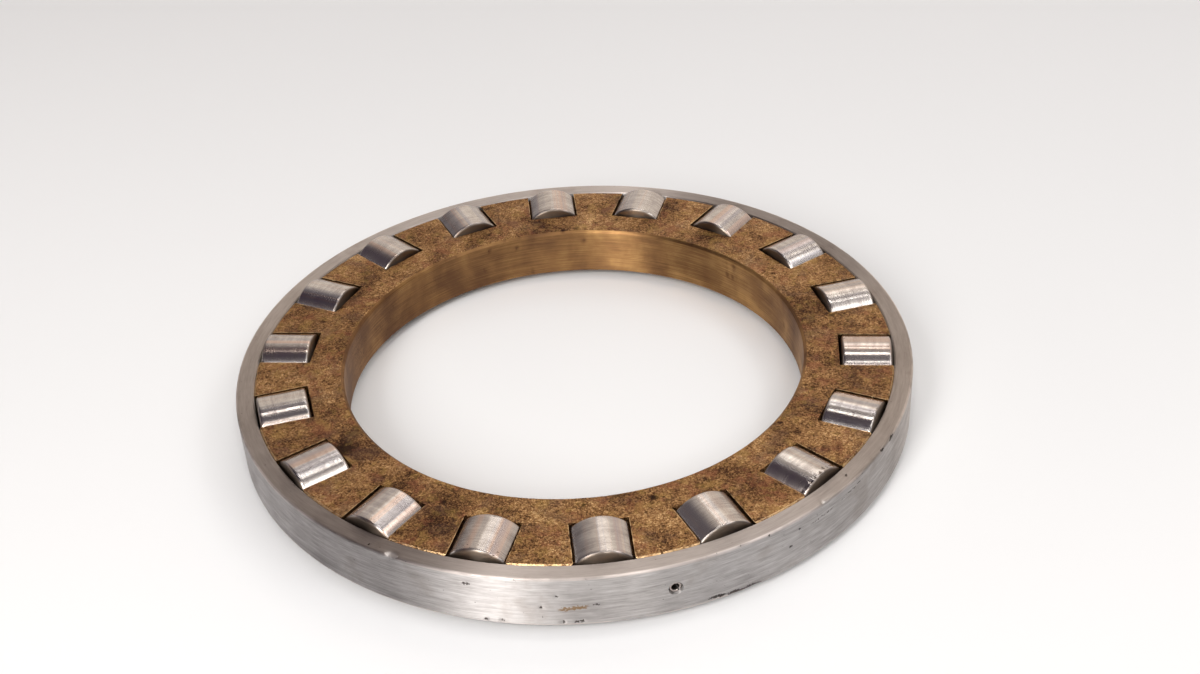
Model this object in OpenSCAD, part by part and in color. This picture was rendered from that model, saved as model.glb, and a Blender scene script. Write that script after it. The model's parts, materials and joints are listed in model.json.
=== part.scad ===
// Thrust cylindrical roller and cage assembly.
// A machined brass cage holds one short cylindrical roller in each radial pocket. The pockets
// break out through the cage's rim, and a steel band, shrunk on and pinned to the webs, closes them.
// The origin is the bearing's centre, on its middle plane. +Z is the bearing's axis, and the
// first roller lies on +X.

/* [Bearing] */
// Outside diameter, over the retaining band
outer_d = 120.65; // [119:0.05:126]
// Bore of the cage, which runs on the shaft's pilot
bore_d = 82.55; // [76:0.05:86]
// Thickness of the cage and of the band
ring_h = 9.525; // [8.5:0.005:11.5]

/* [Rollers] */
// Number of rollers, evenly spaced
roller_count = 18; // [6:3:18]
// Diameter of a roller, which is also the height of the whole assembly
roller_d = 12.7; // [12.2:0.05:12.9]
// Length of a roller along its own axis
roller_len = 8.7; // [7.5:0.05:9.2]
// Width of the chamfer round each end of a roller
roller_chamfer = 0.45; // [0.1:0.05:1]

/* [Cage] */
// Diameter of the round pocket that each roller lies in
pocket_d = 13.4; // [13.1:0.05:13.8]
// Distance from the bearing's axis to the flat floor of a pocket
pocket_floor_r = 47.5; // [46.5:0.05:47.7]
// Chamfer at both ends of the bore
bore_chamfer = 0.5; // [0.1:0.05:1]
// Chamfer round the rim, where the cage meets the band
rim_chamfer = 0.3; // [0.05:0.05:0.6]

/* [Retaining band] */
// Thickness of the band's wall
band_wall = 3.175; // [2.5:0.005:4]
// Edge break round the outside of the band
band_edge = 0.35; // [0.1:0.05:0.8]
// Edge break round the inside of the band
band_inner_edge = 0.2; // [0.05:0.05:0.5]

/* [Lock pins] */
// Number of slotted spring pins, evenly spaced, each in the web between two pockets
pin_count = 3; // [1:2:3]
// Outside diameter of a spring pin, and of its hole
pin_d = 2.38; // [1.6:0.01:2.6]
// Length of a spring pin
pin_len = 7.94; // [5:0.01:8.5]
// Wall of the rolled pin
pin_wall = 0.55; // [0.3:0.05:0.7]
// Width of the slot along the pin
pin_slot = 0.45; // [0.2:0.05:0.6]
// Depth of the pin's outer end below the outside of the band
pin_sink = 0.35; // [0.1:0.05:0.8]

/* [Hidden] */
$fn = 180;
// Extra length that makes a cut run past the face that it opens
past = 1;
// Slope of the drill point at the bottom of a pin hole, as depth over radius
drill_slope = 0.6;
// Angle from one roller to the next, and from a roller to the middle of the web beside it
pitch = 360 / roller_count;
half_pitch = pitch / 2;
// Web that carries the first pin, counted from the first roller, and the webs between pins
first_pin_web = 2;
webs_per_pin = roller_count / pin_count;
// Turn of each pin about its own length, which sets where its slot faces
pin_slot_angle = 40;

outer_r = outer_d / 2;
bore_r = bore_d / 2;
half_h = ring_h / 2;
rim_r = outer_r - band_wall;
roller_r = roller_d / 2;
pin_r = pin_d / 2;
pin_chamfer = pin_wall / 2;
pin_outer_r = outer_r - pin_sink;
pin_inner_r = pin_outer_r - pin_len;
// The roller lies halfway between the pocket's floor and the band
roller_mid_r = (pocket_floor_r + rim_r) / 2;

function two_digits(n) = str(n < 10 ? "0" : "", n);
function roller_name(i) = str("roller_", two_digits(i));
function pin_name(i) = str("lock_pin_", i);
function roller_angle(i) = (i - 1) * pitch;
function pin_angle(i) = first_pin_web * pitch + half_pitch + (i - 1) * webs_per_pin * pitch;

// Section of a ring of height h between two radii, with its inner and outer corners cut off
module ring_section(inner_r, outer_r, h, inner_cut, outer_cut) {
    polygon([
        [inner_r, inner_cut - h / 2],
        [inner_r + inner_cut, -h / 2],
        [outer_r - outer_cut, -h / 2],
        [outer_r, outer_cut - h / 2],
        [outer_r, h / 2 - outer_cut],
        [outer_r - outer_cut, h / 2],
        [inner_r + inner_cut, h / 2],
        [inner_r, h / 2 - inner_cut]
    ]);
}

// Puts its children, built along +Z from the origin, along a radius of the bearing
module along_radius(angle) {
    rotate([0, 0, angle]) rotate([0, 90, 0]) children();
}

// Flat-floored round hole bored in from the rim, wider than the cage is thick
module pocket_cut(angle) {
    along_radius(angle)
        translate([0, 0, pocket_floor_r])
            cylinder(d = pocket_d, h = rim_r - pocket_floor_r + past);
}

// Blind drilled hole for a spring pin, through the band and into the web
module pin_hole(angle) {
    point_depth = drill_slope * pin_r;
    along_radius(angle) {
        translate([0, 0, pin_inner_r])
            cylinder(r = pin_r, h = outer_r - pin_inner_r + past);
        translate([0, 0, pin_inner_r - point_depth])
            cylinder(r1 = 0, r2 = pin_r, h = point_depth);
    }
}

module all_pin_holes() {
    for (i = [1:pin_count]) pin_hole(pin_angle(i));
}

module cage() {
    color("darkgoldenrod") difference() {
        rotate_extrude() ring_section(bore_r, rim_r, ring_h, bore_chamfer, rim_chamfer);
        for (i = [1:roller_count]) pocket_cut(roller_angle(i));
        all_pin_holes();
    }
}

module retaining_band() {
    color("rosybrown") difference() {
        rotate_extrude() ring_section(rim_r, outer_r, ring_h, band_inner_edge, band_edge);
        all_pin_holes();
    }
}

// Short cylinder with chamfered ends, free to turn about its own length
module roller(i) {
    half_len = roller_len / 2;
    color("lightgray")
        along_radius(roller_angle(i))
            translate([0, 0, roller_mid_r])
                rotate_extrude()
                    polygon([
                        [0, -half_len],
                        [roller_r - roller_chamfer, -half_len],
                        [roller_r, roller_chamfer - half_len],
                        [roller_r, half_len - roller_chamfer],
                        [roller_r - roller_chamfer, half_len],
                        [0, half_len]
                    ]);
}

// Rolled tube with a slot along one side and tapered ends
module lock_pin(i) {
    color("dimgray")
        along_radius(pin_angle(i))
            rotate([0, 0, pin_slot_angle])
                translate([0, 0, pin_inner_r])
                    difference() {
                        rotate_extrude()
                            polygon([
                                [pin_r - pin_wall, 0],
                                [pin_r - pin_chamfer, 0],
                                [pin_r, 2 * pin_chamfer],
                                [pin_r, pin_len - 2 * pin_chamfer],
                                [pin_r - pin_chamfer, pin_len],
                                [pin_r - pin_wall, pin_len]
                            ]);
                        translate([0, -pin_slot / 2, -past])
                            cube([pin_d, pin_slot, pin_len + 2 * past]);
                    }
}

cage();
retaining_band();
for (i = [1:pin_count])
    lock_pin(i);
for (i = [1:roller_count])
    roller(i);
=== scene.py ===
"""Looks of a thrust roller and cage assembly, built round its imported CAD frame.

Lengths are in metres, in the CAD's own frame: the origin is the bearing's centre, +Z is its axis,
and angles turn round +Z from +X, where the first roller lies. Every CAD node is replaced by a finer
mesh of the same size, with worn edges and small dents, and a procedural material.
"""

import json
import math
import random

import bmesh
import bpy
import numpy as np
from mathutils import Matrix, Vector, noise

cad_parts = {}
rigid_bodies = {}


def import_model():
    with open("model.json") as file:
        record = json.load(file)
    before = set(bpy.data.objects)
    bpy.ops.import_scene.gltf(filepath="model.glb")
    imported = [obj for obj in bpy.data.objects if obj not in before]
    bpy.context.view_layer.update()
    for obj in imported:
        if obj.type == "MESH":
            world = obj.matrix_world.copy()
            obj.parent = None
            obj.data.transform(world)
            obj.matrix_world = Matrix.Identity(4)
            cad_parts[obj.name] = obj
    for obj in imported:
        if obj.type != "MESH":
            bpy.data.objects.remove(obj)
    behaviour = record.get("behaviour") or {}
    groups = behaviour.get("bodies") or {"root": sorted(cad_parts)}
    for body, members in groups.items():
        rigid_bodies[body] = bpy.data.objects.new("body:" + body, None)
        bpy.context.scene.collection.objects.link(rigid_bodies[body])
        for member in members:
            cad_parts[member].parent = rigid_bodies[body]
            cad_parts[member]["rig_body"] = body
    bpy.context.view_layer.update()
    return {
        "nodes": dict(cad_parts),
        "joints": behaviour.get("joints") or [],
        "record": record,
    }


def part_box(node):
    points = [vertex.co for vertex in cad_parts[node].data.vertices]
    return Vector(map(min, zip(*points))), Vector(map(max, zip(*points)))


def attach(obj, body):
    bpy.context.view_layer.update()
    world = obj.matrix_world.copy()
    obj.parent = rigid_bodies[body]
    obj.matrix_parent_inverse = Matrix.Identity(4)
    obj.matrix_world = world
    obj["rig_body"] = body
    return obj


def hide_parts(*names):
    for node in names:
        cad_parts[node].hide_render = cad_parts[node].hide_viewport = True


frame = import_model()

# ---------------------------------------------------------------- sizes

MM = 0.001
FULL_TURN = 2 * math.pi

mounts = {mount["name"]: mount["dims"] for mount in frame["record"]["mounts"] if mount["dims"]}
OUTER_R = mounts["housing_pilot"]["r_mm"] * MM
BORE_R = mounts["shaft_pilot"]["r_mm"] * MM
HALF_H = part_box("retaining_band")[1].z
RIM_R = max(vertex.co.xy.length for vertex in frame["nodes"]["cage"].data.vertices)
BORE_CHAMFER = HALF_H - mounts["shaft_pilot"]["length_mm"] * MM / 2
BAND_EDGE = HALF_H - mounts["housing_pilot"]["length_mm"] * MM / 2

SPINS = {joint["child"]: joint for joint in frame["joints"]}
PINS = sorted(name for name in frame["nodes"] if name.startswith("lock_pin"))
PITCH = FULL_TURN / len(SPINS)
roller_low, roller_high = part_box("roller_01")
ROLLER_R = roller_high.z
ROLLER_LENGTH = roller_high.x - roller_low.x
POCKET_FLOOR = roller_low.x + roller_high.x - RIM_R

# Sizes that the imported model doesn't state
POCKET_CLEARANCE = 0.35 * MM
POCKET_R = ROLLER_R + POCKET_CLEARANCE
RIM_CHAMFER = 0.3 * MM
BAND_INNER_EDGE = 0.2 * MM
ROLLER_CORNER = 0.5 * MM
PIN_WALL = 0.55 * MM
PIN_SLOT = 0.45 * MM
PIN_SLOT_ANGLE = math.radians(40)
DRILL_SLOPE = 0.6  # of the point of a pin hole, as depth over radius

# ---------------------------------------------------------------- meshes


def lerp(a, b, t):
    return a + (b - a) * t


def polar(radius, angle, height):
    """Points round +Z at these radii, angles and heights, which are broadcast together."""
    radius, angle, height = np.broadcast_arrays(radius, angle, height)
    return np.stack([radius * np.cos(angle), radius * np.sin(angle), height], -1)


def lathe(profile, columns, start=0.0, end=FULL_TURN):
    """A grid of points: the profile's (radius, height) points, turned round +Z from start to end."""
    profile = np.array(profile)
    angles = np.linspace(start, end, columns + 1)
    return polar(profile[:, :1], angles[None, :], profile[:, 1:])


def arc(centre, radius, start, end, steps):
    """Profile points along an arc, its angles in degrees from the profile's radius direction."""
    turns = np.radians(np.linspace(start, end, steps + 1))
    return [(centre[0] + radius * math.cos(t), centre[1] + radius * math.sin(t)) for t in turns]


def piece_from_grids(name, grids, close_ends=False):
    """A closed mesh object from grids of points that share their borders."""
    points, faces, first = [], [], 0
    for grid in grids:
        rows, columns = grid.shape[:2]
        index = first + np.arange(rows * columns).reshape(rows, columns)
        corners = [index[:-1, :-1], index[1:, :-1], index[1:, 1:], index[:-1, 1:]]
        points.append(grid.reshape(-1, 3))
        faces.append(np.stack(corners, -1).reshape(-1, 4))
        first += rows * columns
    mesh = bpy.data.meshes.new(name)
    mesh.from_pydata(np.concatenate(points).tolist(), [], np.concatenate(faces).tolist())
    tidy = bmesh.new()
    tidy.from_mesh(mesh)
    bmesh.ops.remove_doubles(tidy, verts=tidy.verts, dist=0.001 * MM)
    bmesh.ops.dissolve_degenerate(tidy, edges=tidy.edges, dist=0.001 * MM)
    if close_ends:
        open_edges = [edge for edge in tidy.edges if edge.is_boundary]
        bmesh.ops.holes_fill(tidy, edges=open_edges, sides=0)
    bmesh.ops.recalc_face_normals(tidy, faces=tidy.faces)
    tidy.to_mesh(mesh)
    tidy.free()
    piece = bpy.data.objects.new(name, mesh)
    bpy.context.scene.collection.objects.link(piece)
    return piece


def apply_modifier(piece, kind, **settings):
    """Adds a modifier of this kind to the piece and applies it to the mesh."""
    modifier = piece.modifiers.new(kind.title(), kind)
    for key, value in settings.items():
        setattr(modifier, key, value)
    bpy.context.view_layer.objects.active = piece
    bpy.ops.object.modifier_apply(modifier=modifier.name)


def bevel_edges(piece, width, segments, least_degrees):
    """Rounds every edge that turns by more than least_degrees."""
    limit = math.radians(least_degrees)
    apply_modifier(piece, "BEVEL", width=width, segments=segments, limit_method="ANGLE", angle_limit=limit)


def drill(piece, cutters):
    """Cuts each cutter out of the piece and deletes the cutter."""
    for cutter in cutters:
        apply_modifier(piece, "BOOLEAN", object=cutter, operation="DIFFERENCE", solver="MANIFOLD")
        bpy.data.objects.remove(cutter)


def soften_shading(piece, sharp_degrees=32):
    """Shades the piece smooth, except at edges that turn by more than sharp_degrees."""
    piece.data.shade_smooth()
    piece.data.set_sharp_from_angle(angle=math.radians(sharp_degrees))
    modifier = piece.modifiers.new("Weighted normals", "WEIGHTED_NORMAL")
    modifier.keep_sharp = True


def wear(piece, dents, ripple=0.0, ripple_length=2 * MM):
    """Sinks dents into the surface, gives it a faint ripple, and stores where the dents are.

    A dent is (place, radius, depth, grime). The worn attribute is 0 on sound metal, and in a dent it
    reaches the grime, which is 1 for a dark dent and -1 for one that is fresh, bright metal. Where
    dents overlap, the deepest and the strongest win."""
    mesh = piece.data
    count = len(mesh.vertices)
    places, normals = np.empty(count * 3), np.empty(count * 3)
    mesh.vertices.foreach_get("co", places)
    mesh.vertex_normals.foreach_get("vector", normals)
    places, normals = places.reshape(-1, 3), normals.reshape(-1, 3)
    sink, worn = np.zeros(count), np.zeros(count)
    for place, radius, depth, grime in dents:
        near = np.exp(-2 * ((places - np.array(place)) ** 2).sum(1) / radius**2)
        sink = np.maximum(sink, near * depth)
        worn = np.where(near * abs(grime) > np.abs(worn), near * grime, worn)
    if ripple:
        waves = [noise.noise(Vector(place) / ripple_length) for place in places]
        sink += ripple * (1 + np.array(waves)) / 2
    mesh.vertices.foreach_set("co", (places - normals * sink[:, None]).ravel())
    # Besides dents, the worn attribute holds stains and, on the brass bore, painted shade.
    attribute = mesh.attributes.new("worn", "FLOAT", "POINT")
    attribute.data.foreach_set("value", worn)
    mesh.update()


def stroke(start, end, radius, depth, grime=1.0):
    """Dents in a line from start to end, half their radius apart, shallower towards both ends."""
    start, end = Vector(start), Vector(end)
    count = max(2, math.ceil(2 * (end - start).length / radius) + 1)
    dents = []
    for i in range(count):
        share = i / (count - 1)
        bulge = 0.4 + 0.6 * math.sin(math.pi * share)
        dents.append((start.lerp(end, share), radius * bulge, depth * bulge, grime))
    return dents


def on_rim(degrees, height):
    """A point on the outside of the band."""
    return tuple(polar(OUTER_R, math.radians(degrees), height * MM))


def on_face(degrees, radius):
    """A point on the upper face."""
    return tuple(polar(radius * MM, math.radians(degrees), HALF_H))


# ---------------------------------------------------------------- the cage


def pocket_half_width(z):
    """Half the width of a pocket's round section at height z."""
    return np.sqrt(POCKET_R**2 - z**2)


def rim_radius(z):
    """Radius of the cage's rim at height z, less its chamfer near the two faces."""
    return RIM_R - np.maximum(0, np.abs(z) - (HALF_H - RIM_CHAMFER))


def web_points(z, out, across):
    """Points on the web beside a pocket. out runs from 0 at the pocket's floor to 1 at the rim, and
    across from 0 on the pocket's wall to 1 at the middle of the web."""
    innermost = np.hypot(POCKET_FLOOR, pocket_half_width(z))
    radius = lerp(innermost, rim_radius(z), out)
    wall_angle = np.arcsin(pocket_half_width(z) / radius)
    return polar(radius, lerp(wall_angle, PITCH / 2, across), z)


# Stained and cleaner places on the upper face: angle, radius and size in mm, and how dark
BRASS_STAINS = (
    (219.4, 46.2, 3.0, 0.55), (222.6, 47.9, 1.8, -0.5), (292, 44.25, 0.9, 0.9), (250, 52, 7, 0.36),
    (244, 47, 6, 0.2), (290, 53, 5, 0.3), (311, 50, 5, 0.15), (60, 46, 3, 0.3), (133, 53, 3, 0.4),
    (205, 45, 4, 0.35), (238, 45, 3, 0.25), (340, 46, 4, 0.15), (270, 47, 7, -0.2), (36, 50, 12, -0.25),
    (12, 46, 4, -0.12), (195, 50, 5, -0.1),
)
# Painted shade on one side of the bore's wall, for its darker reflections there: angle and how dark. Each
# is centred inside the bore, so that it reaches the wall and spares the face
BORE_SHADE_PATCHES = ((208, 0.4), (192, 0.46), (174, 0.46), (156, 0.4), (138, 0.3), (121, 0.2))
BORE_SHADE_SIZE = 12 * MM
BORE_SHADE_R = BORE_R - 6 * MM


def cage_half_sector():
    """Grids over the cage from the middle of one pocket to the middle of the web beside it."""
    across = np.linspace(0, 1, 13)
    out = np.linspace(0, 1, 25)
    over_pocket = np.linspace(0, 1, 13)
    ring_steps = np.linspace(0, 1, 15)
    wall_heights = np.linspace(RIM_CHAMFER - HALF_H, HALF_H - RIM_CHAMFER, 8)
    heights = np.concatenate([[-HALF_H], wall_heights, [HALF_H]])
    grids = [
        web_points(heights[:, None], out[None, :], 0),
        web_points(heights[:, None], 1, across[None, :]),
    ]
    floor_y = over_pocket[None, :] * pocket_half_width(heights)[:, None]
    grids.append(np.stack(np.broadcast_arrays(POCKET_FLOOR, floor_y, heights[:, None]), -1))
    for z in (-HALF_H, HALF_H):
        grids.append(web_points(z, out[:, None], across[None, :]))
        floor_edge = np.stack(np.broadcast_arrays(POCKET_FLOOR, over_pocket * pocket_half_width(z), z), -1)
        border = np.concatenate([floor_edge, web_points(z, 0, across)[1:]])
        angles = np.arctan2(border[:, 1], border[:, 0])
        bore_edge = polar(BORE_R + BORE_CHAMFER, angles, z)
        grids.append(lerp(bore_edge[None], border[None], ring_steps[:, None, None]))
    bore_end = HALF_H - BORE_CHAMFER
    bore = [(BORE_R + BORE_CHAMFER, -HALF_H)]
    bore += [(BORE_R, z) for z in np.linspace(-bore_end, bore_end, 11)]
    bore += [(BORE_R + BORE_CHAMFER, HALF_H)]
    bore = np.array(bore)
    grids.append(polar(bore[:, :1], angles[None, :], bore[:, 1:]))
    return grids


FACE_PITS, BORE_PITS, POCKET_KNOCKS = 260, 30, 150


def cage_dents(rng):
    """Stains, patches of painted shade on the bore's wall, pits over both faces and the bore, and knocks
    along the mouths of the pockets.
    """
    dents = []
    for degrees, radius, size, grime in BRASS_STAINS:
        dents.append((on_face(degrees, radius), size * MM, 0.0, grime))
    # painted shade: flat patches that darken one side of the bore's wall
    for degrees, grime in BORE_SHADE_PATCHES:
        dents.append((polar(BORE_SHADE_R, math.radians(degrees), 0), BORE_SHADE_SIZE, 0.0, grime))
    for _ in range(FACE_PITS):
        radius = rng.uniform(BORE_R, RIM_R)
        place = polar(radius, rng.uniform(0, FULL_TURN), rng.choice((-HALF_H, HALF_H)))
        dents.append((place, rng.uniform(0.3, 0.75) * MM, rng.uniform(0.03, 0.1) * MM, 0.45))
    for _ in range(BORE_PITS):
        place = polar(BORE_R, rng.uniform(0, FULL_TURN), rng.uniform(-HALF_H, HALF_H))
        dents.append((place, rng.uniform(0.4, 0.7) * MM, rng.uniform(0.02, 0.05) * MM, 0.4))
    for _ in range(POCKET_KNOCKS):
        z = rng.choice((-HALF_H, HALF_H))
        place = web_points(z, rng.uniform(0, 1), 0) * (1, rng.choice((-1, 1)), 1)
        turn = Matrix.Rotation(rng.randrange(len(SPINS)) * PITCH, 3, "Z")
        size, depth = rng.uniform(0.35, 0.7) * MM, rng.uniform(0.04, 0.13) * MM
        dents.append((turn @ Vector(place), size, depth, 0.4))
    return dents


def pin_cutter(angle, inner, outer, radius):
    """A closed rod along a radius of the bearing, for drilling a pin hole with a slightly flared mouth."""
    flare = 0.04 * MM
    drill_point = DRILL_SLOPE * radius
    profile = [(0, inner - drill_point), (radius, inner), (radius, OUTER_R - flare)]
    profile += [(radius + 2 * flare, OUTER_R + flare), (radius + 2 * flare, outer), (0, outer)]
    cutter = piece_from_grids("cutter", [lathe(profile, 48)])
    cutter.data.transform(along_radius(angle))
    return cutter


def along_radius(angle):
    """Turns +Z to point along the bearing's radius at this angle."""
    return Matrix.Rotation(angle, 4, "Z") @ Matrix.Rotation(math.radians(90), 4, "Y")


def pin_place(name):
    """Angle, inner end, outer end and radius of a spring pin. Pins stand at the middle of a web."""
    low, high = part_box(name)
    middle = (low + high) / 2
    angle = round(math.atan2(middle.y, middle.x) / (PITCH / 2)) * PITCH / 2
    outwards = Vector((math.cos(angle), math.sin(angle), 0))
    reach = [vertex.co.dot(outwards) for vertex in frame["nodes"][name].data.vertices]
    return angle, min(reach), max(reach), high.z


def all_pin_cutters():
    past_band = 1 * MM
    places = [pin_place(name) for name in PINS]
    return [pin_cutter(angle, inner, OUTER_R + past_band, radius) for angle, inner, _, radius in places]


def build_cage():
    half = cage_half_sector()
    mirrored = [grid * (1, -1, 1) for grid in half]
    grids = []
    for step in range(len(SPINS)):
        turn = np.array(Matrix.Rotation(step * PITCH, 3, "Z"))
        grids += [grid @ turn.T for grid in half + mirrored]
    cage = piece_from_grids("brass_cage", grids)
    bevel_edges(cage, 0.07 * MM, segments=2, least_degrees=25)
    drill(cage, all_pin_cutters())
    wear(cage, cage_dents(random.Random(4)), ripple=0.03 * MM, ripple_length=2.5 * MM)
    soften_shading(cage)
    return cage


# ---------------------------------------------------------------- the retaining band


def band_profile():
    """Closed outline of the band's section, from the foot of its outer wall."""
    wall_end = HALF_H - BAND_EDGE
    inner_end = HALF_H - BAND_INNER_EDGE
    corner_r = OUTER_R - BAND_EDGE
    inner_r = RIM_R + BAND_INNER_EDGE
    outline = [(OUTER_R, z) for z in np.linspace(-wall_end, wall_end, 32)]
    outline += arc((corner_r, wall_end), BAND_EDGE, 0, 90, 4)[1:]
    outline += [(r, HALF_H) for r in np.linspace(corner_r, inner_r, 7)[1:]]
    outline += [(RIM_R, z) for z in np.linspace(inner_end, -inner_end, 5)]
    outline += [(r, -HALF_H) for r in np.linspace(inner_r, corner_r, 7)]
    outline += arc((corner_r, -wall_end), BAND_EDGE, -90, 0, 4)[1:]
    return outline


# Scrapes on the outside of the band: angle and height in mm of each end, size and depth in mm, and how
# dark
RIM_SCRAPES = (
    ((295, -4.0), (297.8, -4.2), 0.6, 0.18, 1.0),
    ((298, -4.25), (300.4, -4.45), 0.6, 0.18, 1.0),
    ((300.7, -4.4), (304, -4.6), 0.6, 0.18, 1.0),
    ((258.6, 2.8), (260.1, 2.75), 0.42, 0.06, 1.0),
    ((336.4, 4.6), (334.6, 4.3), 0.5, 0.14, 1.0),
    ((332.6, 4.7), (331.4, 4.6), 0.45, 0.12, 1.0),
    ((279, -0.6), (277.6, -0.85), 0.32, 0.03, 0.8),
    ((312.5, 2.0), (319, 2.6), 0.34, 0.03, 0.75),
    ((319, 2.6), (326, 3.4), 0.34, 0.03, 0.75),
)
# Nicks near its foot, and dents higher up: angle and height in mm
RIM_NICKS = ((261.8, -4.1), (264.2, -3.95), (273.2, -4.0), (275.2, -4.0), (276, -3.95))
RIM_DENTS = ((272.6, 1.3), (270.3, -0.9), (310.9, 2.5), (309.2, -0.1))
# Bright knocks on its upper face: angle and radius in mm of each end, size and depth in mm, and how
# bright, below 0
FACE_KNOCKS = (
    ((246.5, 59.9), (248.4, 60), 0.8, 0.24, -1.0),
    ((315.7, 60.1), (316.2, 60.1), 0.4, 0.12, -0.8),
)
# Dark dents there: angle, radius from the bearing's axis, size and depth in mm
FACE_DENTS = ((323.3, 58.6, 0.4, 0.06), (243.1, 59.4, 0.35, 0.05))
# Small knocks that are scattered along the band's edges, away from the ones above
EDGE_KNOCKS = 40


def band_dents(rng):
    """The knocks that show on the band, and smaller ones scattered along the rest of its edges."""
    nick_size, nick_depth = 0.48 * MM, 0.14 * MM
    dent_size, dent_depth = 0.42 * MM, 0.07 * MM
    dents = []
    for on_surface, knocks in ((on_rim, RIM_SCRAPES), (on_face, FACE_KNOCKS)):
        for first, last, size, depth, grime in knocks:
            dents += stroke(on_surface(*first), on_surface(*last), size * MM, depth * MM, grime)
    for degrees, height in RIM_NICKS:
        end = on_rim(degrees + 0.25, height - 0.1)
        dents += stroke(on_rim(degrees, height), end, nick_size, nick_depth)
    for degrees, height in RIM_DENTS:
        dents.append((on_rim(degrees, height), dent_size, dent_depth, 1.0))
    for degrees, radius, size, depth in FACE_DENTS:
        dents.append((on_face(degrees, radius), size * MM, depth * MM, 1.0))
    for _ in range(EDGE_KNOCKS):
        height = rng.choice((-1, 1)) * rng.uniform(0.92, 1) * HALF_H / MM
        place = on_rim(rng.uniform(-60, 240), height)
        dents.append((place, rng.uniform(0.25, 0.4) * MM, 0.05 * MM, rng.choice((1.0, 0.6, 0.3))))
    return dents


def build_band():
    profile = band_profile()
    band = piece_from_grids("steel_band", [lathe(profile + profile[:1], 1400)])
    drill(band, all_pin_cutters())
    wear(band, band_dents(random.Random(11)), ripple=0.012 * MM, ripple_length=6 * MM)
    soften_shading(band)
    return band


# ---------------------------------------------------------------- the rollers


def roller_profile():
    """Half outline of a roller from the middle of one end face to the middle of the other."""
    half = ROLLER_LENGTH / 2
    dish = 0.05 * MM
    corner_r = ROLLER_R - ROLLER_CORNER
    corner_z = half - ROLLER_CORNER
    lower_end = [(r, -half + dish * (1 - r / corner_r)) for r in np.linspace(0, corner_r, 12)]
    outline = lower_end + arc((corner_r, -corner_z), ROLLER_CORNER, -90, 0, 6)[1:]
    outline += [(ROLLER_R, z) for z in np.linspace(-corner_z, corner_z, 22)[1:]]
    outline += arc((corner_r, corner_z), ROLLER_CORNER, 0, 90, 6)[1:]
    outline += [(r, -z) for r, z in reversed(lower_end[:-1])]
    return outline


def roller_dents(name, rng):
    """Small knocks along the two ends. Roller 14 also has a worn line round its outer end, and roller
    17 has spalled patches there."""
    corner = ROLLER_LENGTH / 2 - ROLLER_CORNER
    line_inset = 0.7 * MM
    dents = []
    for _ in range(rng.randint(4, 9)):
        height = rng.choice((-1, 1)) * (corner + rng.uniform(0, 0.5) * ROLLER_CORNER)
        place = polar(ROLLER_R, rng.uniform(0, FULL_TURN), height)
        dents.append((place, rng.uniform(0.2, 0.4) * MM, rng.uniform(0.02, 0.06) * MM, 0.8))
    if name == "roller_14":
        for degrees in range(110, 251, 5):
            place = polar(ROLLER_R, math.radians(degrees), corner - line_inset)
            dents.append((place, 0.25 * MM, 0.01 * MM, 0.5))
    if name == "roller_17":
        for degrees in range(120, 236, 9):
            height = corner - rng.uniform(-0.1, 0.75) * MM
            place = polar(ROLLER_R, math.radians(degrees + rng.uniform(-4, 4)), height)
            dents.append((place, rng.uniform(0.35, 0.6) * MM, rng.uniform(0.08, 0.18) * MM, 1.0))
    return dents


def build_roller(name):
    """A roller in its own frame, +Z along its length, with the top of the bearing towards -X."""
    rng = random.Random(name)
    roller = piece_from_grids(f"{name}_steel", [lathe(roller_profile(), 120)])
    wear(roller, roller_dents(name, rng))
    soften_shading(roller, 50)
    patch = roller.data.uv_layers.new(name="patch")
    spot = (rng.uniform(0, 50), rng.uniform(0, 50))
    patch.data.foreach_set("uv", spot * len(roller.data.loops))
    axis, middle = Vector(SPINS[name]["axis"]), Vector(SPINS[name]["pos_m"])
    roller.matrix_world = Matrix.Translation(middle) @ along_radius(math.atan2(axis.y, axis.x))
    return roller


# ---------------------------------------------------------------- the spring pins


def build_pin(name):
    """A rolled tube with a slot along one side and tapered ends."""
    angle, inner, outer, radius = pin_place(name)
    bore = radius - PIN_WALL
    taper = PIN_WALL / 2
    profile = [(bore, inner), (radius - taper, inner), (radius, inner + 2 * taper)]
    profile += [(radius, outer - 2 * taper), (radius - taper, outer), (bore + taper / 3, outer)]
    profile += [(bore, outer - taper / 3), (bore, inner)]
    half_slot = PIN_SLOT / 2 / radius
    wall = lathe(profile, 44, half_slot, FULL_TURN - half_slot)
    pin = piece_from_grids(f"{name}_steel", [wall], close_ends=True)
    pin.data.transform(along_radius(angle) @ Matrix.Rotation(PIN_SLOT_ANGLE, 4, "Z"))
    bevel_edges(pin, 0.03 * MM, segments=1, least_degrees=40)
    wear(pin, [])
    soften_shading(pin)
    return pin


# ---------------------------------------------------------------- material nodes

# Sockets of the Mix node, by number, because those for numbers and for colours share their names
MIX_SHARE, NUMBER_A, NUMBER_B = 0, 2, 3
COLOUR_A, COLOUR_B, COLOUR_RESULT = 6, 7, 2
ACROSS_LINES = 0.25  # anisotropic rotation that spreads a highlight across turned lines


def new_tree(name):
    material = bpy.data.materials.new(name)
    material.use_nodes = True
    return material, material.node_tree


def set_inputs(tree, node, values):
    """Sets or links the node's inputs. A value is a constant or another node's output."""
    for key, value in values.items():
        if isinstance(value, bpy.types.NodeSocket):
            tree.links.new(value, node.inputs[key])
        else:
            node.inputs[key].default_value = value


def add(tree, kind, values=None, output=0, **settings):
    """Adds a shader node with these inputs and settings, and returns one of its outputs."""
    node = tree.nodes.new("ShaderNode" + kind)
    for key, value in settings.items():
        setattr(node, key, value)
    set_inputs(tree, node, values or {})
    return node.outputs[output]


def maths(tree, operation, a, b=0.0):
    return add(tree, "Math", {0: a, 1: b}, operation=operation)


def vector_maths(tree, operation, a, b=(0, 0, 0)):
    return add(tree, "VectorMath", {0: a, 1: b}, operation=operation)


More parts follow.
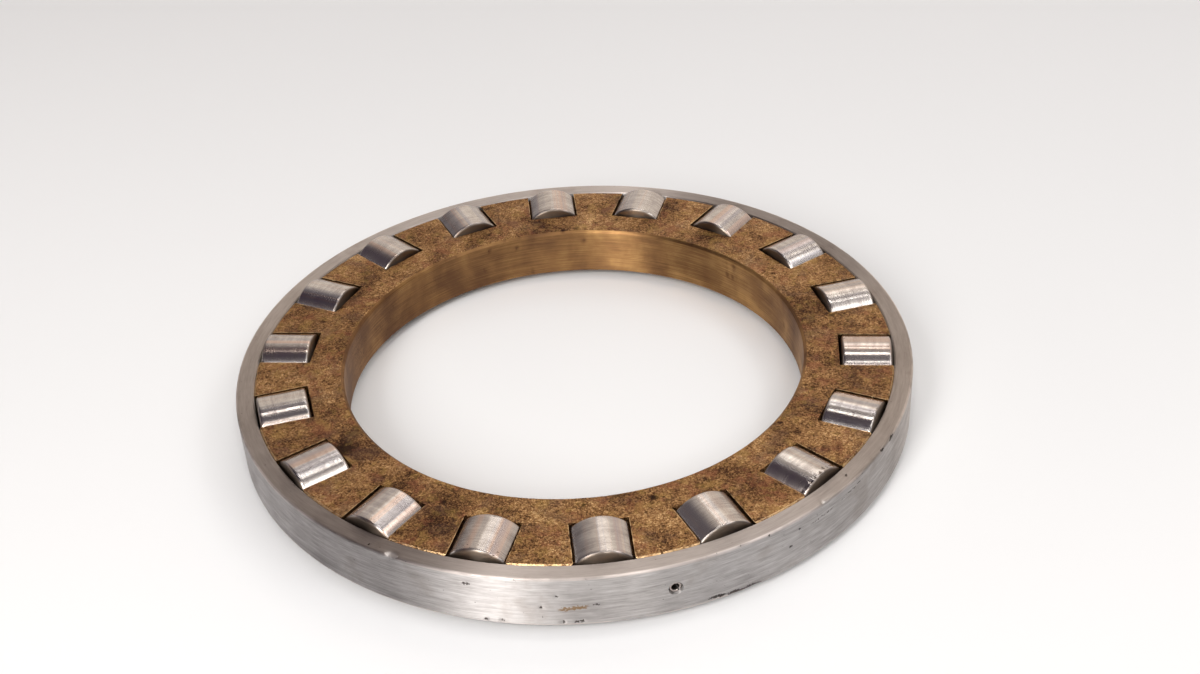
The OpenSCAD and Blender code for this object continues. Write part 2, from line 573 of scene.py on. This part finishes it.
def noise_pattern(tree, vector, size_mm, detail=4.0, roughness=0.55, distortion=0.0):
    """Noise whose largest features are about size_mm across, on coordinates in millimetres."""
    values = {"Vector": vector, "Scale": 1 / size_mm, "Detail": detail, "Roughness": roughness}
    values["Distortion"] = distortion
    return add(tree, "TexNoise", values)


def remap(tree, value, low, high, out_low=0.0, out_high=1.0):
    """Maps low..high to out_low..out_high smoothly, and holds it there outside."""
    values = {"Value": value, "From Min": low, "From Max": high, "To Min": out_low, "To Max": out_high}
    return add(tree, "MapRange", values, interpolation_type="SMOOTHSTEP")


def weighted(tree, *terms):
    """The sum of (output, weight) terms, each output times its weight."""
    total = 0.0
    for output, weight in terms:
        total = add(tree, "Math", {0: output, 1: weight, 2: total}, operation="MULTIPLY_ADD")
    return total


def either(tree, share, a, b):
    """The number a where share is 0 and b where it is 1."""
    return add(tree, "Mix", {MIX_SHARE: share, NUMBER_A: a, NUMBER_B: b}, data_type="FLOAT")


def mix(tree, share, a, b):
    """The colour a where share is 0 and b where it is 1."""
    values = {MIX_SHARE: share, COLOUR_A: a, COLOUR_B: b}
    return add(tree, "Mix", values, output=COLOUR_RESULT, data_type="RGBA")


def tinted(tree, colour, share, strength, tint):
    """The colour, mixed towards tint by share times strength."""
    return mix(tree, maths(tree, "MULTIPLY", share, strength), colour, opaque(tint))


def ramp(tree, value, stops):
    """A colour ramp through (position, colour) stops."""
    output = add(tree, "ValToRGB", {"Fac": value})
    elements = output.node.color_ramp.elements
    while len(elements) < len(stops):
        elements.new(0.5)
    for element, (position, colour) in zip(elements, stops):
        element.position = position
        element.color = (*colour, 1)
    return output


def rgb(red, green, blue):
    """A linear colour, from a colour as a screen shows it, each channel out of 255."""
    def linear(channel):
        share = channel / 255
        return share / 12.92 if share <= 0.04045 else ((share + 0.055) / 1.055) ** 2.4
    return linear(red), linear(green), linear(blue)


def opaque(colour):
    return (*colour, 1)


def position_mm(tree):
    """The piece's own coordinates, in millimetres."""
    place = add(tree, "TexCoord", output="Object")
    return vector_maths(tree, "MULTIPLY", place, (1 / MM, 1 / MM, 1 / MM))


def split(tree, vector):
    node = add(tree, "SeparateXYZ", {"Vector": vector}).node
    return node.outputs["X"], node.outputs["Y"], node.outputs["Z"]


def radius_of(tree, x, y):
    squares = maths(tree, "ADD", maths(tree, "MULTIPLY", x, x), maths(tree, "MULTIPLY", y, y))
    return maths(tree, "SQRT", squares)


def turned_lines(tree, x, y, across, line_mm, spread_mm):
    """Fine lines round an axis, as turning and grinding leave. across is the height or radius that they
    are spaced along, line_mm their width and spread_mm about how far each one runs before it fades."""
    radius = radius_of(tree, x, y)
    reach = OUTER_R / MM / spread_mm
    values = {
        "X": maths(tree, "MULTIPLY", maths(tree, "DIVIDE", x, radius), reach),
        "Y": maths(tree, "MULTIPLY", maths(tree, "DIVIDE", y, radius), reach),
        "Z": maths(tree, "DIVIDE", across, line_mm),
    }
    place = add(tree, "CombineXYZ", values)
    return add(tree, "TexNoise", {"Vector": place, "Scale": 1.0, "Detail": 3.0, "Roughness": 0.6})


def surface(tree, colour, roughness, height, height_mm, **more):
    """Finishes the material with one metallic Principled shader and a bump of height_mm. Other sockets
    are given by name, with _ for a space."""
    bump = add(tree, "Bump", {"Height": height, "Distance": height_mm * MM, "Strength": 1.0})
    values = {"Base Color": colour, "Roughness": roughness, "Normal": bump, "Metallic": 1.0}
    for key, value in more.items():
        values[key.replace("_", " ")] = value
    set_inputs(tree, tree.nodes["Principled BSDF"], values)


def round_axis(tree):
    """The direction round the piece's own Z, which turned and ground lines follow."""
    return add(tree, "Tangent", direction_type="RADIAL", axis="Z")


def wear_and_shade_amount(tree):
    """How grimy a dent is, or how bright below 0, as wear stores it. On the brass bore it also holds
    painted shade.
    """
    return add(tree, "Attribute", output="Fac", attribute_name="worn")


def with_wear_and_shade(tree, colour, dark, fresh=None, dark_share=0.85):
    """The colour, towards dark in grimy dents and in patches of painted shade, and towards fresh in bright
    ones.
    """
    worn = wear_and_shade_amount(tree)
    ragged = remap(tree, noise_pattern(tree, position_mm(tree), 0.35, detail=3), 0.3, 0.7, -0.3, 0.3)
    grime = remap(tree, maths(tree, "ADD", worn, ragged), 0.38, 0.65, 0.0, dark_share)
    colour = mix(tree, grime, colour, opaque(dark))
    if fresh:
        colour = mix(tree, remap(tree, worn, -0.1, -0.7), colour, opaque(fresh))
    return colour


# ---------------------------------------------------------------- materials

# Patches over the brass: where their noise is sampled, their size in mm, strength and tint
BRASS_PATCHES = (
    ((31, 7, 3), 3.2, 0.45, rgb(158, 100, 76)),
    ((5, 47, 13), 2.6, 0.35, rgb(184, 152, 88)),
    ((17, 3, 71), 5.0, 0.4, rgb(112, 86, 74)),
)
# Painted reflection bands in cream and grey that run along a roller: where their noise is sampled, and the
# colour
ROLLER_SHEEN_BANDS = (((0, 0, 9), rgb(222, 190, 172)), ((0, 0, 31), rgb(176, 174, 182)))


def aged_brass():
    """Machined brass with a mottled brown patina and fine pits, a painted highlight along the rim's edge
    and the pockets' mouths, and a smoother bore with painted vertical reflection streaks and patches of
    painted shade on one side.
    """
    material, tree = new_tree("aged brass")
    place = position_mm(tree)
    x, y, z = split(tree, place)
    radius = radius_of(tree, x, y)
    worn = wear_and_shade_amount(tree)
    stains = noise_pattern(tree, place, 9.0, detail=4, roughness=0.6, distortion=0.3)
    mottle = noise_pattern(tree, place, 1.2, detail=4, roughness=0.7)
    grain = noise_pattern(tree, place, 0.33, detail=2, roughness=0.8)
    pits = brass_pits(tree, place, mottle)
    rubbed_and_sheen = rubbed_and_highlit_edges(tree, x, y, radius, mottle)

    tone = weighted(tree, (stains, 0.36), (mottle, 0.15), (grain, 0.49), (worn, -0.2))
    patina = brass_patina(tree, place, tone)
    patina = tinted(tree, patina, pits, 0.6, rgb(56, 39, 30))
    # painted highlight: bright beige along the rim's edge and the pockets' mouths, partly metal worn bright
    # at the pockets
    patina = tinted(tree, patina, rubbed_and_sheen, 0.6, rgb(236, 202, 154))
    rough_patina = weighted(tree, (remap(tree, tone, 0.36, 0.62, 0.6, 0.46), 1.0), (rubbed_and_sheen, -0.15))

    lines = turned_lines(tree, x, y, maths(tree, "ADD", radius, z), 0.18, 12)
    # painted reflection: noise stretched along the height gives vertical light and dark streaks in the
    # bore's colour, for bands of reflected light on its wall
    stretched = add(tree, "CombineXYZ", {"X": x, "Y": y, "Z": maths(tree, "MULTIPLY", z, 0.25)})
    streak_sheen = noise_pattern(tree, stretched, 8.0, detail=2, roughness=0.5)
    film = weighted(tree, (lines, 0.3), (streak_sheen, 0.35), (stains, 0.35), (worn, -0.4))
    bore_film_and_sheen = ramp(tree, film, [
        (0.38, rgb(118, 86, 61)),
        (0.5, rgb(154, 116, 76)),
        (0.62, rgb(196, 155, 100)),
    ])
    rough_film = remap(tree, film, 0.36, 0.62, 0.5, 0.42)

    in_bore = remap(tree, radius, BORE_R / MM + 0.6, BORE_R / MM + 0.45)
    colour = mix(tree, in_bore, patina, bore_film_and_sheen)
    colour = with_wear_and_shade(tree, colour, dark=rgb(62, 44, 33), fresh=rgb(196, 160, 108), dark_share=0.8)
    face_height = weighted(tree, (grain, 1.0), (pits, -0.8))
    bore_height = maths(tree, "MULTIPLY", lines, 0.2)
    scratch_turn = maths(tree, "MULTIPLY", noise_pattern(tree, place, 0.8, detail=3), 3.0)
    surface(
        tree,
        colour,
        roughness=either(tree, in_bore, rough_patina, rough_film),
        height=either(tree, in_bore, face_height, bore_height),
        height_mm=0.03,
        Anisotropic=0.9,
        Anisotropic_Rotation=either(tree, in_bore, scratch_turn, ACROSS_LINES),
        Tangent=round_axis(tree),
    )
    return material


def brass_patina(tree, place, tone):
    """Brown to bright brass by tone, with redder, yellower and greyer patches."""
    patina = ramp(tree, tone, [
        (0.37, rgb(62, 42, 32)),
        (0.44, rgb(112, 80, 54)),
        (0.5, rgb(162, 121, 80)),
        (0.56, rgb(192, 150, 102)),
        (0.63, rgb(238, 202, 150)),
    ])
    for offset, size, strength, tint in BRASS_PATCHES:
        moved = vector_maths(tree, "ADD", place, offset)
        patch = noise_pattern(tree, moved, size, detail=5, roughness=0.65)
        patina = mix(tree, remap(tree, patch, 0.5, 0.64, 0.0, strength), patina, opaque(tint))
    return patina


def brass_pits(tree, place, mottle):
    """1 in clusters of fine pits, where mottle is low, and in a few round dots."""
    clusters = remap(tree, mottle, 0.5, 0.4)
    fine = remap(tree, noise_pattern(tree, place, 0.4, detail=2), 0.54, 0.64)
    dots = add(tree, "TexVoronoi", {"Vector": place, "Scale": 1 / 3.2})
    return maths(tree, "MAXIMUM", maths(tree, "MULTIPLY", fine, clusters), remap(tree, dots, 0.1, 0.06))


def rubbed_and_highlit_edges(tree, x, y, radius, mottle):
    """1 along the rim's edge and the mouths of the pockets, broken up where mottle is low. The bright
    colour laid there is a painted highlight, which along the pockets' mouths also stands for metal worn
    bright.
    """
    rim_edge = remap(tree, radius, RIM_R / MM - 0.36, RIM_R / MM - 0.24)
    edges = maths(tree, "MAXIMUM", pocket_edge(tree, x, y, radius), rim_edge)
    return maths(tree, "MULTIPLY", edges, remap(tree, mottle, 0.36, 0.5))


def pocket_edge(tree, x, y, radius):
    """1 along the straight edges of every pocket's mouth, in a line about 0.2 mm wide."""
    angle = maths(tree, "ARCTAN2", y, x)
    pockets_away = maths(tree, "ROUND", maths(tree, "DIVIDE", angle, PITCH))
    folded = maths(tree, "SUBTRACT", angle, maths(tree, "MULTIPLY", pockets_away, PITCH))
    beside = maths(tree, "MULTIPLY", radius, maths(tree, "ABSOLUTE", maths(tree, "SINE", folded)))
    gap = maths(tree, "SUBTRACT", beside, float(pocket_half_width(HALF_H)) / MM)
    past_floor = remap(tree, radius, POCKET_FLOOR / MM + 0.4, POCKET_FLOOR / MM + 0.8)
    return maths(tree, "MULTIPLY", remap(tree, gap, 0.22, 0.1), past_floor)


def ground_steel():
    """Band steel, ground round the rim, with browner, darker upper and lower faces, a bright line along the
    outer corners that is a painted highlight and partly worn metal, stains and a rust streak.
    """
    material, tree = new_tree("ground steel")
    place = position_mm(tree)
    x, y, z = split(tree, place)
    radius = radius_of(tree, x, y)
    across = maths(tree, "ADD", radius, z)
    fine = turned_lines(tree, x, y, across, 0.16, 3)
    broad = turned_lines(tree, x, y, across, 0.5, 9)
    film = noise_pattern(tree, place, 9.0, detail=5, roughness=0.6)
    grain = noise_pattern(tree, place, 0.5, detail=3)
    from_middle = maths(tree, "ABSOLUTE", z)
    on_face = remap(tree, from_middle, HALF_H / MM - 0.3, HALF_H / MM - 0.02)
    near_face = remap(tree, from_middle, HALF_H / MM - 0.5, HALF_H / MM - 0.25)
    near_wall = remap(tree, radius, OUTER_R / MM - 0.45, OUTER_R / MM - 0.2)
    edge = maths(tree, "MULTIPLY", near_face, near_wall)
    edge = maths(tree, "MULTIPLY", edge, remap(tree, broad, 0.35, 0.6))
    stain = remap(tree, film, 0.56, 0.7)
    specks = remap(tree, noise_pattern(tree, place, 0.6, detail=2), 0.72, 0.76)
    rust = rust_streak(tree, place, grain)

    tone = weighted(tree, (fine, 0.4), (broad, 0.3), (film, 0.3))
    colour = ramp(tree, tone, [
        (0.38, rgb(171, 166, 164)),
        (0.5, rgb(194, 190, 188)),
        (0.62, rgb(213, 210, 208)),
    ])
    # the upper and lower faces are browner and darker than the rim
    colour = tinted(tree, colour, on_face, 0.6, rgb(172, 158, 149))
    # painted highlight, partly worn metal: a bright line along the outer corners of both faces
    colour = tinted(tree, colour, edge, 1.0, rgb(226, 216, 210))
    colour = tinted(tree, colour, stain, 0.3, rgb(128, 110, 98))
    colour = tinted(tree, colour, specks, 0.5, rgb(60, 48, 42))
    colour = with_wear_and_shade(tree, colour, dark=rgb(46, 34, 28), fresh=rgb(245, 240, 236))
    colour = tinted(tree, colour, rust, 1.0, rgb(140, 108, 62))

    ground = remap(tree, tone, 0.35, 0.65, 0.62, 0.5)
    surface(
        tree,
        colour,
        roughness=weighted(tree, (ground, 1.0), (rust, 0.3), (on_face, -0.12)),
        height=weighted(tree, (fine, 0.6), (broad, 0.4)),
        height_mm=0.012,
        Anisotropic=0.95,
        Anisotropic_Rotation=ACROSS_LINES,
        Tangent=round_axis(tree),
    )
    return material


def rust_streak(tree, place, grain):
    """A thin broken streak of rust on the outside of the band, beside the spring pin."""
    start, end = Vector(on_rim(272.4, -1.45)) / MM, Vector(on_rim(277.4, -0.95)) / MM
    middle, reach = (start + end) / 2, (end - start).length / 2
    rise = (end.z - start.z) / (2 * reach)
    x, y, z = split(tree, vector_maths(tree, "SUBTRACT", place, tuple(middle)))
    drift = remap(tree, grain, 0.3, 0.7, -0.25, 0.25)
    offset = weighted(tree, (z, 1.0), (x, -rise), (drift, 1.0))
    near_line = remap(tree, maths(tree, "ABSOLUTE", offset), 0.42, 0.16)
    near_middle = remap(tree, maths(tree, "ABSOLUTE", x), reach, reach * 0.6)
    in_front = maths(tree, "LESS_THAN", y, 5.0)
    streak = maths(tree, "MULTIPLY", near_line, near_middle)
    return maths(tree, "MULTIPLY", maths(tree, "MULTIPLY", streak, in_front), 0.8)


def roller_steel():
    """Hardened steel, ground and polished round the roller, with faint marks from running, painted
    reflection bands along its length and painted shade on its end faces.
    """
    material, tree = new_tree("roller steel")
    patch = add(tree, "UVMap", uv_map="patch")
    place = position_mm(tree)
    x, y, z = split(tree, place)
    own_x, own_y, _ = split(tree, patch)
    own_place = vector_maths(tree, "ADD", place, patch)
    across = maths(tree, "ADD", z, own_x)
    lines = turned_lines(tree, x, y, across, 0.12, 60)
    tracks = turned_lines(tree, x, y, across, 0.9, 90)
    cloud = noise_pattern(tree, own_place, 2.5, detail=5, roughness=0.65)
    grain = noise_pattern(tree, own_place, 0.4, detail=3)
    half_length, corner = ROLLER_LENGTH / MM / 2, ROLLER_CORNER / MM
    on_end = remap(tree, maths(tree, "ABSOLUTE", z), half_length - corner * 0.9, half_length)

    tone = weighted(tree, (lines, 0.3), (tracks, 0.3), (cloud, 0.4))
    colour = ramp(tree, tone, [
        (0.36, rgb(172, 163, 158)),
        (0.5, rgb(206, 199, 194)),
        (0.62, rgb(230, 225, 218)),
    ])
    around = add(tree, "CombineXYZ", {"X": x, "Y": y, "Z": own_y})
    # painted reflection: lengthwise cream and grey bands, like the reflected bands on a ground roller
    for offset, tint in ROLLER_SHEEN_BANDS:
        band = noise_pattern(tree, vector_maths(tree, "ADD", around, offset), 2.2, detail=4, roughness=0.6)
        colour = mix(tree, remap(tree, band, 0.5, 0.64, 0.0, 0.55), colour, opaque(tint))
    # painted shade: the end faces are turned dark brown, for the shade and dark reflections they get beside
    # the band and the cage
    colour = tinted(tree, colour, on_end, 0.85, rgb(104, 88, 70))
    colour = with_wear_and_shade(tree, colour, dark=rgb(66, 48, 36), dark_share=0.75)

    polished = remap(tree, tone, 0.35, 0.65, 0.28, 0.18)
    surface(
        tree,
        colour,
        roughness=weighted(tree, (polished, 1.0), (on_end, 0.2)),
        height=weighted(tree, (lines, 0.7), (grain, 0.3)),
        height_mm=0.002,
        Anisotropic=0.8,
        Anisotropic_Rotation=ACROSS_LINES,
        Tangent=round_axis(tree),
    )
    return material


def pin_steel():
    """Dark spring steel with a bright, worn end."""
    material, tree = new_tree("pin steel")
    place = position_mm(tree)
    x, y, _ = split(tree, place)
    cloud = noise_pattern(tree, place, 0.8, detail=5)
    on_end = remap(tree, radius_of(tree, x, y), OUTER_R / MM - 0.8, OUTER_R / MM - 0.4)
    colour = ramp(tree, cloud, [(0.35, rgb(84, 76, 72)), (0.65, rgb(132, 122, 116))])
    colour = tinted(tree, colour, on_end, 0.9, rgb(188, 178, 172))
    surface(tree, colour, remap(tree, cloud, 0.3, 0.7, 0.5, 0.32), cloud, height_mm=0.01)
    return material


# ---------------------------------------------------------------- stage

CAMERA_AZIMUTH = math.radians(7.6)
CAMERA_ELEVATION = math.radians(35.5)
CAMERA_ROLL = math.radians(-4.17)
CAMERA_DISTANCE = 0.28954
AIM_RIGHT, AIM_UP = 0.0046, 0.00597  # from the bearing's centre, as the camera sees it
LENS_MM = 47.67
SENSOR_MM = 36.0


def direction(azimuth, elevation):
    """Unit vector towards this azimuth, which turns from -Y towards +X, and this elevation."""
    level = Vector((math.sin(azimuth), -math.cos(azimuth), 0))
    return math.cos(elevation) * level + Vector((0, 0, math.sin(elevation)))


def make_camera():
    """The camera at its place on the sphere round the bearing, rolled and aimed a little off its centre."""
    data = bpy.data.cameras.new("camera")
    data.lens = LENS_MM
    data.sensor_width = SENSOR_MM
    data.clip_start = 0.01
    camera = bpy.data.objects.new("camera", data)
    bpy.context.scene.collection.objects.link(camera)
    back = direction(CAMERA_AZIMUTH, CAMERA_ELEVATION)
    right = Vector((math.cos(CAMERA_AZIMUTH), math.sin(CAMERA_AZIMUTH), 0))
    up = back.cross(right)
    rolled_right = math.cos(CAMERA_ROLL) * right + math.sin(CAMERA_ROLL) * up
    rolled_up = math.cos(CAMERA_ROLL) * up - math.sin(CAMERA_ROLL) * right
    place = back * CAMERA_DISTANCE
    aim = rolled_right * AIM_RIGHT + rolled_up * AIM_UP
    forward = (aim - place).normalized()
    side = forward.cross(rolled_up).normalized()
    axes = Matrix((side, side.cross(forward), -forward)).transposed()
    camera.matrix_world = Matrix.Translation(place) @ axes.to_4x4()
    bpy.context.scene.camera = camera


def softbox(name, azimuth, elevation, distance, width, height, radiance, colour, slide=0.0):
    """A rectangular area light that faces the bearing, as bright to look at as radiance says. Then it
    slides along +X. The azimuth and elevation are in degrees, as for direction."""
    data = bpy.data.lights.new(name, "AREA")
    data.shape = "RECTANGLE"
    data.size, data.size_y = width, height
    data.energy = radiance * math.pi * width * height
    data.color = colour
    light = bpy.data.objects.new(name, data)
    bpy.context.scene.collection.objects.link(light)
    towards = direction(math.radians(azimuth), math.radians(elevation))
    light.location = towards * distance + Vector((slide, 0, 0))
    light.rotation_mode = "QUATERNION"
    light.rotation_quaternion = towards.to_track_quat("Z", "Y")


def make_floor():
    """A wide pale disc under the rollers."""
    radius = 8.0
    floor = piece_from_grids("floor", [lathe([(0, -ROLLER_R), (radius, -ROLLER_R)], 64)])
    material, tree = new_tree("pale floor")
    place = add(tree, "TexCoord", output="Object")
    cloud = add(tree, "TexNoise", {"Vector": place, "Scale": 3.0})
    colour = ramp(tree, cloud, [(0.3, (0.89, 0.908, 0.92)), (0.7, (0.92, 0.938, 0.95))])
    values = {"Base Color": colour, "Roughness": 0.8, "Specular IOR Level": 0.1}
    set_inputs(tree, tree.nodes["Principled BSDF"], values)
    floor.data.materials.append(material)


def facing(tree, gaze, azimuth, elevation):
    """The cosine between the gaze and this direction, given in degrees."""
    towards = direction(math.radians(azimuth), math.radians(elevation))
    return add(tree, "VectorMath", {0: gaze, 1: tuple(towards)}, output=1, operation="DOT_PRODUCT")


def make_world():
    """Soft room light: a dim room with a pale wall at the back and a dark corner at the left."""
    room, wall, corner = (0.22, 0.2, 0.205), (0.78, 0.69, 0.61), (0.05, 0.034, 0.052)
    world = bpy.data.worlds.new("studio")
    world.use_nodes = True
    tree = world.node_tree
    gaze = add(tree, "TexCoord", output="Generated")
    wall_share = remap(tree, facing(tree, gaze, 166, 22), 0.48, 0.94)
    corner_share = remap(tree, facing(tree, gaze, -65, 45), 0.55, 0.85)
    colour = mix(tree, wall_share, opaque(room), opaque(wall))
    colour = mix(tree, corner_share, colour, opaque(corner))
    set_inputs(tree, tree.nodes["Background"], {"Color": colour})
    bpy.context.scene.world = world


def make_lights():
    """Three strips overhead, a high box behind and one at the right, three boxes at the front, and a
    fill at each side."""
    warm = (1.0, 0.97, 0.93)
    # Name, azimuth, elevation, distance, width, height, radiance and colour
    softbox("strip back", 180, 63, 0.9, 0.6, 0.05, 3.0, warm, slide=0.2)
    softbox("strip overhead", 180, 85, 0.9, 0.5, 0.06, 7.0, warm, slide=0.1)
    softbox("strip front", 0, 66, 0.9, 0.45, 0.05, 4.0, warm, slide=0.28)
    softbox("high right", 90, 54, 0.9, 0.5, 0.18, 2.4, (1.0, 0.98, 0.96))
    softbox("high back", 176, 48, 0.9, 0.4, 0.2, 1.0, warm)
    softbox("key left", -22, 34, 0.8, 0.19, 0.4, 16.0, (1.0, 0.97, 0.94))
    softbox("front", -7, 50, 0.8, 0.06, 0.25, 13.0, warm)
    softbox("front right", 20, 40, 0.8, 0.1, 0.3, 11.0, (1.0, 0.98, 0.95))
    softbox("low left", -95, 14, 0.9, 0.6, 0.14, 1.6, (1.0, 0.98, 0.97))
    softbox("fill right", 62, 45, 0.9, 0.4, 0.4, 1.6, (0.97, 0.98, 1.0))


# ---------------------------------------------------------------- assembly


def finish_piece(piece, node, material):
    """Gives the piece its material, ties it to the node's body, and has it replace the node."""
    piece.data.materials.clear()
    piece.data.materials.append(material)
    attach(piece, frame["nodes"][node]["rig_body"])
    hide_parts(node)


make_camera()
make_world()
make_lights()
make_floor()
bpy.context.scene.view_settings.view_transform = "Standard"

finish_piece(build_cage(), "cage", aged_brass())
finish_piece(build_band(), "retaining_band", ground_steel())
polished = roller_steel()
for roller_node in sorted(SPINS):
    finish_piece(build_roller(roller_node), roller_node, polished)
dark_steel = pin_steel()
for pin_node in PINS:
    finish_piece(build_pin(pin_node), pin_node, dark_steel)
